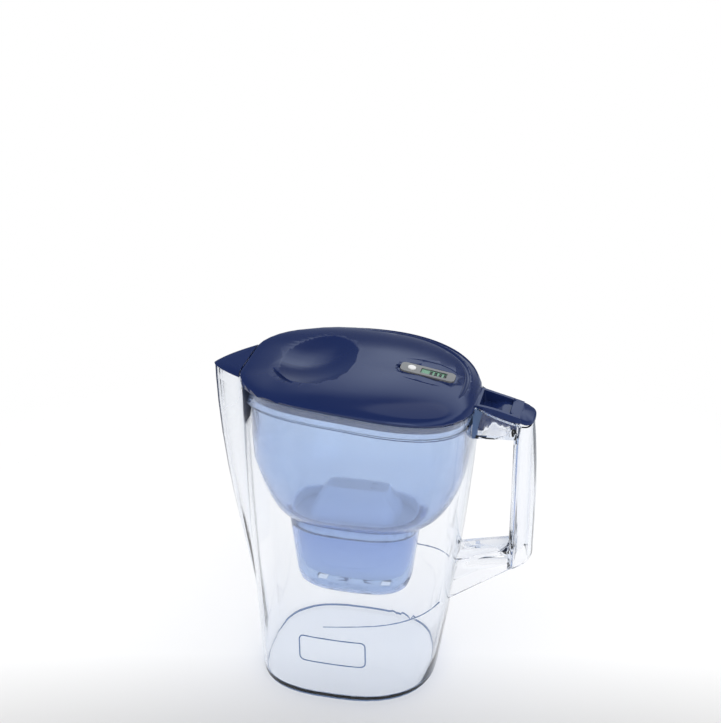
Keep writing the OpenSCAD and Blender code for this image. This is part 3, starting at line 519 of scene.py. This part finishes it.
jug = {
    "footHalfLength": 70.3,
    "footHalfWidth": 63.7,
    "footFrontPower": 2.86,
    "footBackPower": 2.47,
    "footFlare": -0.01,
    "straightness": 0.2,         # 0 is a wall that curves out from the foot, and 1 a straight one
    # painted shade: how far down from the rim, up from the foot and around the floor the narrow
    # faces get the dark edge colour
    "rimShadeDepth": 0.7,              # how deep the rim's dark edge is
    "footShadeHeight": 2.5,
    "floorShadeBand": (4.65, 5.75),
    "ledgeHeight": 250.0,
    "ledgeSlack": 0.5,
    "badgeMiddle": (-1.6, 48.0),
    "badgeSize": (53.0, 24.0),
    "badgeCorner": 4.0,
    "badgeCornerSteps": 4,
    "badgeStep": 5.0,
    "badgeRise": 0.45,
    "badgeSink": 0.1,
    "badgeGap": 0.85,            # the share of its last step that the badge's line covers
    "creaseRadii": (0.8, 0.32),  # below the handle, and where the crease runs out
    "creaseRows": [
        (-1, [(77, 85.4), (71.5, 83), (63, 81.3), (54, 80), (46, 78.9), (34, 77.5), (21, 76.1),
              (6, 73.8), (-8, 71.6)]),
        (1, [(77, 85.4), (70, 82.5), (60, 79.8), (50, 77.4), (40, 75.6), (28, 73.4), (14, 70.7),
             (4, 69.4), (-6, 68.2)]),
    ],
    "bondEnds": (87.0, 101.0),   # how far out the lower and the upper arm show their bond
}


# Point on the jug's wall, which widens from the foot to the rim. Side -1 is the front.
def wallPoint(x, z, side, out=0.0):
    share = clamp01(z / rim["height"])
    spread = mix(sin(pi / 2 * share), share, jug["straightness"])
    along = x - rim["middleX"] * spread
    halfLength = mix(jug["footHalfLength"], rim["halfLength"], spread)
    halfWidth = mix(jug["footHalfWidth"], rim["halfWidth"], spread)
    end = "Front" if along < 0 else "Back"
    power = mix(jug["foot" + end + "Power"], rim[end.lower() + "Power"], share)
    across = halfWidth * max(0.0, 1 - abs(along / halfLength) ** power) ** (1 / power)
    across *= 1 + mix(jug["footFlare"], rim["flare"], share) * along / halfLength
    return (x, side * (across + out), z)


# The outline of a plain rounded plaque, raised a little from the wall and coloured with the painted
# dark edge shade.
def raiseBadge(body):
    (midX, midZ), (width, height) = jug["badgeMiddle"], jug["badgeSize"]
    corner, cornerSteps = jug["badgeCorner"], jug["badgeCornerSteps"]
    outline = []
    for cornerX, cornerZ, start in ((1, 1, 0), (-1, 1, 90), (-1, -1, 180), (1, -1, 270)):
        for k in range(cornerSteps + 1):
            turn = radians(start + 90 * k / cornerSteps)
            outline.append((midX + cornerX * (width / 2 - corner) + corner * cos(turn),
                            midZ + cornerZ * (height / 2 - corner) + corner * sin(turn)))
    outline.append(outline[0])
    ring = []
    for (x0, z0), (x1, z1) in zip(outline, outline[1:]):
        steps = 1 + int(max(abs(x1 - x0), abs(z1 - z0)) / jug["badgeStep"])
        ring += [(mix(x0, x1, k / steps), mix(z0, z1, k / steps)) for k in range(steps)]
    # the bar ends just short of its start, so that it stays one closed skin
    (x0, z0), (x1, z1) = ring[-1], ring[0]
    ring.append((mix(x0, x1, jug["badgeGap"]), mix(z0, z1, jug["badgeGap"])))
    points = [wallPoint(x, z, -1, -jug["badgeSink"]) for x, z in ring]
    radii = [jug["badgeSink"] + jug["badgeRise"]] * len(points)
    carve(body, makeBar("badgeTool", points, radii, 2), "UNION", finishes["paintedClearShade"])


# Curved crease that sweeps round both sides of the wall below the handle, raised and coloured with
# the painted dark edge shade.
def raiseCrease(body):
    for side, row in jug["creaseRows"]:
        last = len(row) - 1
        radii = [mix(*jug["creaseRadii"], k / last) for k in range(last + 1)]
        points = [wallPoint(x, z, side) for x, z in row]
        carve(body, makeBar("creaseTool", points, radii, 2), "UNION", finishes["paintedClearShade"])


# Whether a point is as high as a ledge that runs along the wall below the rim.
def onLedge(middle, height):
    drop = rimDrop(middle.x) * height / rim["height"]
    return abs(middle.z + drop - height) < jug["ledgeSlack"]


def depthBelowRim(middle):
    return rim["height"] - rimDrop(middle.x) - middle.z


# The narrow faces of the rim, the ledge below it, the floor and the foot, which get a painted dark
# edge shade.
# The foot's flat underside stays clear, and of the ledge only the step itself gets the painted
# shade.
def onPaintedJugEdge(middle, normal):
    onRim = depthBelowRim(middle) < jug["rimShadeDepth"]
    onStep = onLedge(middle, jug["ledgeHeight"]) and normal.z > 0.5
    onFloor = jug["floorShadeBand"][0] < middle.z < jug["floorShadeBand"][1]
    onFoot = middle.z < jug["footShadeHeight"] and normal.z > -0.8
    return onRim or onStep or onFloor or onFoot


def dressJug():
    body = copyNode("jug_body")
    giveFinishes(body, "clear", "paintedClearShade")
    raiseBadge(body)
    raiseCrease(body)
    dressFaces(body, onPaintedJugEdge)
    return body


# The sides of the handle's arms at their roots, where they are bonded to the jug.
def onBond(middle, normal):
    isUpper = middle.z > rim["height"] / 2
    return abs(normal.y) > 0.6 and middle.x < jug["bondEnds"][isUpper]


def dressHandle():
    handle = copyNode("jug_handle")
    giveFinishes(handle, "handle", "bond")
    dressFaces(handle, onBond)
    return handle


funnel = {
    "ledgeHeight": 250.6,
    "rimShadeDepth": 0.3,
    "inset": 3.15,
    "lineRadius": 0.3,
    "lineDepth": 2.0,
    "lineSteps": 96,
    "lineGap": 1,                # half of the angle that the line leaves open
}


# The flat faces of the funnel's rim and ledge, which get a painted dark edge shade.
def onPaintedFunnelEdge(middle, normal):
    if abs(normal.z) < 0.4:
        return False
    onRim = depthBelowRim(middle) < funnel["rimShadeDepth"]
    return onRim or onLedge(middle, funnel["ledgeHeight"])


# Fine line around the funnel below its ledge, in the painted dark edge shade. It stays open, so that
# it is one closed skin.
def makeLedgeLine():
    height = funnel["ledgeHeight"] - funnel["lineDepth"]
    points = []
    for k in range(funnel["lineSteps"] + 1):
        turn = radians(mix(funnel["lineGap"], 360 - funnel["lineGap"], k / funnel["lineSteps"]))
        power = rim["frontPower"] if cos(turn) < 0 else rim["backPower"]
        reach = (abs(cos(turn)) ** power + abs(sin(turn)) ** power) ** (-1 / power)
        x = rim["middleX"] + (rim["halfLength"] - funnel["inset"]) * reach * cos(turn)
        y = (rim["halfWidth"] - funnel["inset"]) * reach * sin(turn)
        y *= 1 + flarePerMm * (x - rim["middleX"])
        points.append((x, y, height - rimDrop(x) * height / rim["height"]))
    return makeBar("ledgeLine", points, [funnel["lineRadius"]] * len(points), 1)


def dressFunnel():
    bowl = copyNode("funnel")
    giveFinishes(bowl, "tinted", "paintedTintedShade")
    carve(bowl, makeLedgeLine(), "UNION", finishes["paintedTintedShade"])
    dressFaces(bowl, onPaintedFunnelEdge)
    return bowl


cup = {
    "middleX": 3.0,
    "top": 131.5,
    "height": 45.5,
    "lean": 4.0,
    "halfLength": 46.6,
    "halfWidth": 26.4,
    "power": 2.7,
    "lineRadius": 0.32,
    "lineOut": 0.1,
    "panelRow": [(-25, 133), (-24.3, 120), (-22.6, 108.4), (-19.5, 103), (-14, 100.6), (4, 101.2),
                 (22, 103), (28.5, 106.5), (31, 113), (32.8, 122), (34.5, 133)],
}


def cupPoint(x, z, side):
    lean = cup["lean"] * (cup["top"] - z) / cup["height"]
    along = abs((x - cup["middleX"]) / (cup["halfLength"] - lean))
    across = (cup["halfWidth"] - lean) * (1 - along ** cup["power"]) ** (1 / cup["power"])
    return (x, side * across + side * cup["lineOut"], z)


# Faint panel line pressed into the front and back of the cartridge's cup.
def dressCup():
    shell = copyNode("cartridge_cup")
    for side in (-1, 1):
        points = [cupPoint(x, z, side) for x, z in cup["panelRow"]]
        carve(shell, makeBar("panelTool", points, [cup["lineRadius"]] * len(points), 1))
    return shell


# Level bars and a small mark on the display, seen through the window.
indicator = {
    "origin": (58.5, 0.0, 267.57),
    "lean": 9.2,                 # degrees
    "surface": -0.94,            # the display's face, below the indicator's top
    "markHeight": 0.04,
    "markCornerShare": 0.5,      # of the mark's height, and at most a half
    "bars": 4,
    "barStart": 2.5,
    "barPitch": 3.6,
    "barSize": (2.1, 5.4),
    "iconPlace": 15.6,
    "iconSize": (0.8, 2.2),
}


def makeMark(name, along, size):
    deselectAll()
    bpy.ops.mesh.primitive_cube_add(size=1)
    mark = bpy.context.object
    mark.name = name
    turn = radians(indicator["lean"])
    offset = Vector((along * cos(turn) + indicator["surface"] * sin(turn), 0,
                     indicator["surface"] * cos(turn) - along * sin(turn)))
    mark.location = (Vector(indicator["origin"]) + offset) * mm
    mark.rotation_euler = (0, turn, 0)
    mark.scale = Vector((*size, indicator["markHeight"])) * mm
    bpy.ops.object.transform_apply(location=True, rotation=True, scale=True)
    corner = indicator["markCornerShare"] * indicator["markHeight"]
    useModifier(mark, "BEVEL", width=corner * mm, segments=3, affect="VERTICES")
    mergePoints(mark, 0.001)
    finishPiece(mark, "lid", finishes["mark"], 30)


def makeDisplayMarks():
    for k in range(indicator["bars"]):
        makeMark("levelBar%d" % (k + 1), indicator["barStart"] + k * indicator["barPitch"],
                 indicator["barSize"])
    makeMark("levelIcon", indicator["iconPlace"], indicator["iconSize"])


print("dressing the CAD nodes")
shaped = {
    "lid_shell": dressLid,
    "jug_body": dressJug,
    "jug_handle": dressHandle,
    "funnel": dressFunnel,
    "cartridge_cup": dressCup,
}
dressing = {
    "jug_body": ("jug", "clear_plastic", "clear", 40),
    "jug_handle": ("jug", "clear_plastic", "handle", 32),
    "funnel": ("funnel", "tinted_plastic", "tinted", 38),
    "cartridge_cup": ("cartridge", "white_plastic", "white", 38),
    "cartridge_cap": ("cartridge", "white_plastic", "white", 32),
    "cartridge_inlet_screen": ("cartridge", "screen_plastic", "screen", 30),
    "filter_granules": ("cartridge", "granules", "granules", 40),
    "cartridge_outlet_screen": ("cartridge", "screen_plastic", "screen", 30),
    "lid_shell": ("lid", "navy_plastic", "navy", 24),
    "spout_flap": ("flap", "navy_plastic", "navy", 32),
    "indicator_case_top": ("lid", "silver_plastic", "silver", 30),
    "indicator_case_bottom": ("lid", "silver_plastic", "silver", 30),
    "indicator_window": ("lid", "clear_window", "window", 30),
    "indicator_display": ("lid", "display_glass", "display", 30),
    "display_connector_strip": ("lid", "conductive_rubber", "rubber", 30),
    "indicator_button": ("button", "button_plastic", "button", 30),
    "button_switch_dome": ("lid", "spring_steel", "spring", 30),
    "indicator_board": ("lid", "circuit_board", "board", 30),
    "indicator_cell": ("lid", "cell_steel", "cell", 30),
    "cell_contact_upper": ("lid", "contact_brass", "contact", 30),
    "cell_contact_lower": ("lid", "contact_brass", "contact", 30),
}
for node, (body, slotName, finish, degrees) in dressing.items():
    piece = shaped[node]() if node in shaped else copyNode(node)
    finishPiece(piece, body, finishes[finish], degrees)
    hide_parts(node)

print("marking the display")
makeDisplayMarks()

print("adding the floor, the lamps and the camera")

# Floor, light and camera, in metres.
stage = {
    "floorRadius": 1.6,
    "fadeStart": 0.22,
    "fadeEnd": 0.6,
    "floorFar": (0.99, 0.99, 0.99, 1),
    "floorFrontShade": (0.70, 0.70, 0.70, 1),
    "nearStart": 0.0,
    "nearEnd": 0.11,
    "frontStart": 0.19,
    "frontEnd": 0.27,
    "floorDrop": 0.0004,
    "skyLight": (1.0, 1.0, 1.0, 1),
    "white": (1.0, 1.0, 1.0, 1),
    "reflectionTint": (0.80, 0.88, 1.0),
    "reflectionByHeight": [(0.0, 0.6), (0.36, 0.12), (0.44, 1.5), (0.54, 1.15), (0.7, 0.1)],
    "reflectionLeft": (0.09, 0.12, 0.22, 1),
    "leftFrom": -0.42,
    "leftTo": -0.1,
    "lamps": {                   # place, size across and watts
        "keyLamp": ((0.5, 0.9, 1.9), 1.4, 3.0),
        "fillLamp": ((0.9, -1.6, 0.9), 1.2, 5.0),
    },
    "lampTarget": (0, 0, 0.2),
    "cameraPlace": (0.23852, -1.01351, 0.76687),
    "cameraTarget": (0.00645, -0.00024, 0.2706),
    "cameraTurn": 12.9,          # degrees from the front
    "lens": 75.74,               # millimetres
}


# White for the eye and through clear plastic, and plain light for the rest.
# Reflections see a studio that is brightest half way up and dim blue at the left.
def makeWorld():
    world = bpy.data.worlds.new("studio")
    bpy.context.scene.world = world
    world.use_nodes = True
    nodes = world.node_tree.nodes
    links = world.node_tree.links

    def blend(factor, low, high):
        node = nodes.new("ShaderNodeMix")
        node.data_type = "RGBA"
        links.new(factor, node.inputs["Factor"])
        for name, value in (("A", low), ("B", high)):
            if isinstance(value, tuple):
                node.inputs[name].default_value = value
            else:
                links.new(value, node.inputs[name])
        return node.outputs["Result"]

    path = nodes.new("ShaderNodeLightPath")
    direction = nodes.new("ShaderNodeTexCoord")
    split = nodes.new("ShaderNodeSeparateXYZ")
    links.new(direction.outputs["Generated"], split.inputs["Vector"])
    height = nodes.new("ShaderNodeValToRGB")
    height.color_ramp.interpolation = "EASE"
    while len(height.color_ramp.elements) < len(stage["reflectionByHeight"]):
        height.color_ramp.elements.new(0.5)
    for stop, (place, light) in zip(height.color_ramp.elements, stage["reflectionByHeight"]):
        stop.position = place
        stop.color = (*(Vector(stage["reflectionTint"]) * light), 1)
    links.new(split.outputs["Z"], height.inputs["Fac"])
    side = nodes.new("ShaderNodeMapRange")
    side.interpolation_type = "SMOOTHSTEP"
    side.inputs["From Min"].default_value = stage["leftFrom"]
    side.inputs["From Max"].default_value = stage["leftTo"]
    links.new(split.outputs["X"], side.inputs["Value"])
    seen = nodes.new("ShaderNodeMath")
    seen.operation = "MAXIMUM"
    links.new(path.outputs["Is Camera Ray"], seen.inputs[0])
    links.new(path.outputs["Is Transmission Ray"], seen.inputs[1])
    studio = blend(side.outputs["Result"], stage["reflectionLeft"], height.outputs["Color"])
    light = blend(path.outputs["Is Glossy Ray"], stage["skyLight"], studio)
    view = blend(seen.outputs["Value"], light, stage["white"])
    links.new(view, nodes["Background"].inputs["Color"])


# A pale floor that fades into the white around it.
def makeFloor():
    deselectAll()
    bpy.ops.mesh.primitive_circle_add(vertices=96, radius=stage["floorRadius"], fill_type="NGON",
                                      location=(0, 0, -stage["floorDrop"]))
    floor = bpy.context.object
    floor.name = "floor"
    material = bpy.data.materials.new("floorPaper")
    material.use_nodes = True
    nodes = material.node_tree.nodes
    links = material.node_tree.links
    shader = nodes["Principled BSDF"]
    shader.inputs["Roughness"].default_value = 0.9
    shader.inputs["Specular IOR Level"].default_value = 0.0
    place = nodes.new("ShaderNodeTexCoord")
    distance = nodes.new("ShaderNodeVectorMath")
    distance.operation = "LENGTH"
    links.new(place.outputs["Object"], distance.inputs[0])
    fade = nodes.new("ShaderNodeMapRange")
    fade.interpolation_type = "SMOOTHSTEP"
    fade.inputs["From Min"].default_value = stage["fadeStart"]
    fade.inputs["From Max"].default_value = stage["fadeEnd"]
    fade.inputs["To Min"].default_value = 1.0
    fade.inputs["To Max"].default_value = 0.0
    links.new(distance.outputs["Value"], fade.inputs["Value"])
    # painted shade: the floor's colour darkens a little towards the front
    toFront = nodes.new("ShaderNodeVectorMath")
    toFront.operation = "DOT_PRODUCT"
    turn = radians(stage["cameraTurn"])
    toFront.inputs[1].default_value = (sin(turn), -cos(turn), 0)
    links.new(place.outputs["Object"], toFront.inputs[0])
    front = nodes.new("ShaderNodeMapRange")
    front.inputs["From Min"].default_value = stage["frontStart"]
    front.inputs["From Max"].default_value = stage["frontEnd"]
    front.inputs["To Min"].default_value = 1.0
    front.inputs["To Max"].default_value = 0.0
    links.new(toFront.outputs["Value"], front.inputs["Value"])
    both = nodes.new("ShaderNodeMath")
    both.operation = "MULTIPLY"
    links.new(fade.outputs["Result"], both.inputs[0])
    links.new(front.outputs["Result"], both.inputs[1])
    links.new(both.outputs["Value"], shader.inputs["Alpha"])
    # painted shade: the floor's colour turns grey towards the front
    near = nodes.new("ShaderNodeMapRange")
    near.inputs["From Min"].default_value = stage["nearStart"]
    near.inputs["From Max"].default_value = stage["nearEnd"]
    links.new(toFront.outputs["Value"], near.inputs["Value"])
    tone = nodes.new("ShaderNodeMix")
    tone.data_type = "RGBA"
    tone.inputs["A"].default_value = stage["floorFar"]
    tone.inputs["B"].default_value = stage["floorFrontShade"]
    links.new(near.outputs["Result"], tone.inputs["Factor"])
    links.new(tone.outputs["Result"], shader.inputs["Base Color"])
    floor.data.materials.append(material)


def aimAt(obj, target):
    obj.rotation_euler = (Vector(target) - obj.location).to_track_quat("-Z", "Y").to_euler()


def addLamp(name, place, size, watts):
    light = bpy.data.lights.new(name, "AREA")
    light.shape = "DISK"
    light.size = size
    light.energy = watts
    lamp = bpy.data.objects.new(name, light)
    bpy.context.scene.collection.objects.link(lamp)
    lamp.location = place
    aimAt(lamp, stage["lampTarget"])


def addCamera():
    camera = bpy.data.cameras.new("camera")
    camera.lens = stage["lens"]
    camera.clip_start = 0.05
    obj = bpy.data.objects.new("camera", camera)
    bpy.context.scene.collection.objects.link(obj)
    obj.location = stage["cameraPlace"]
    aimAt(obj, stage["cameraTarget"])
    bpy.context.scene.camera = obj


makeWorld()
makeFloor()
for name, (place, size, watts) in stage["lamps"].items():
    addLamp(name, place, size, watts)
addCamera()
bpy.context.scene.view_settings.view_transform = "Standard"
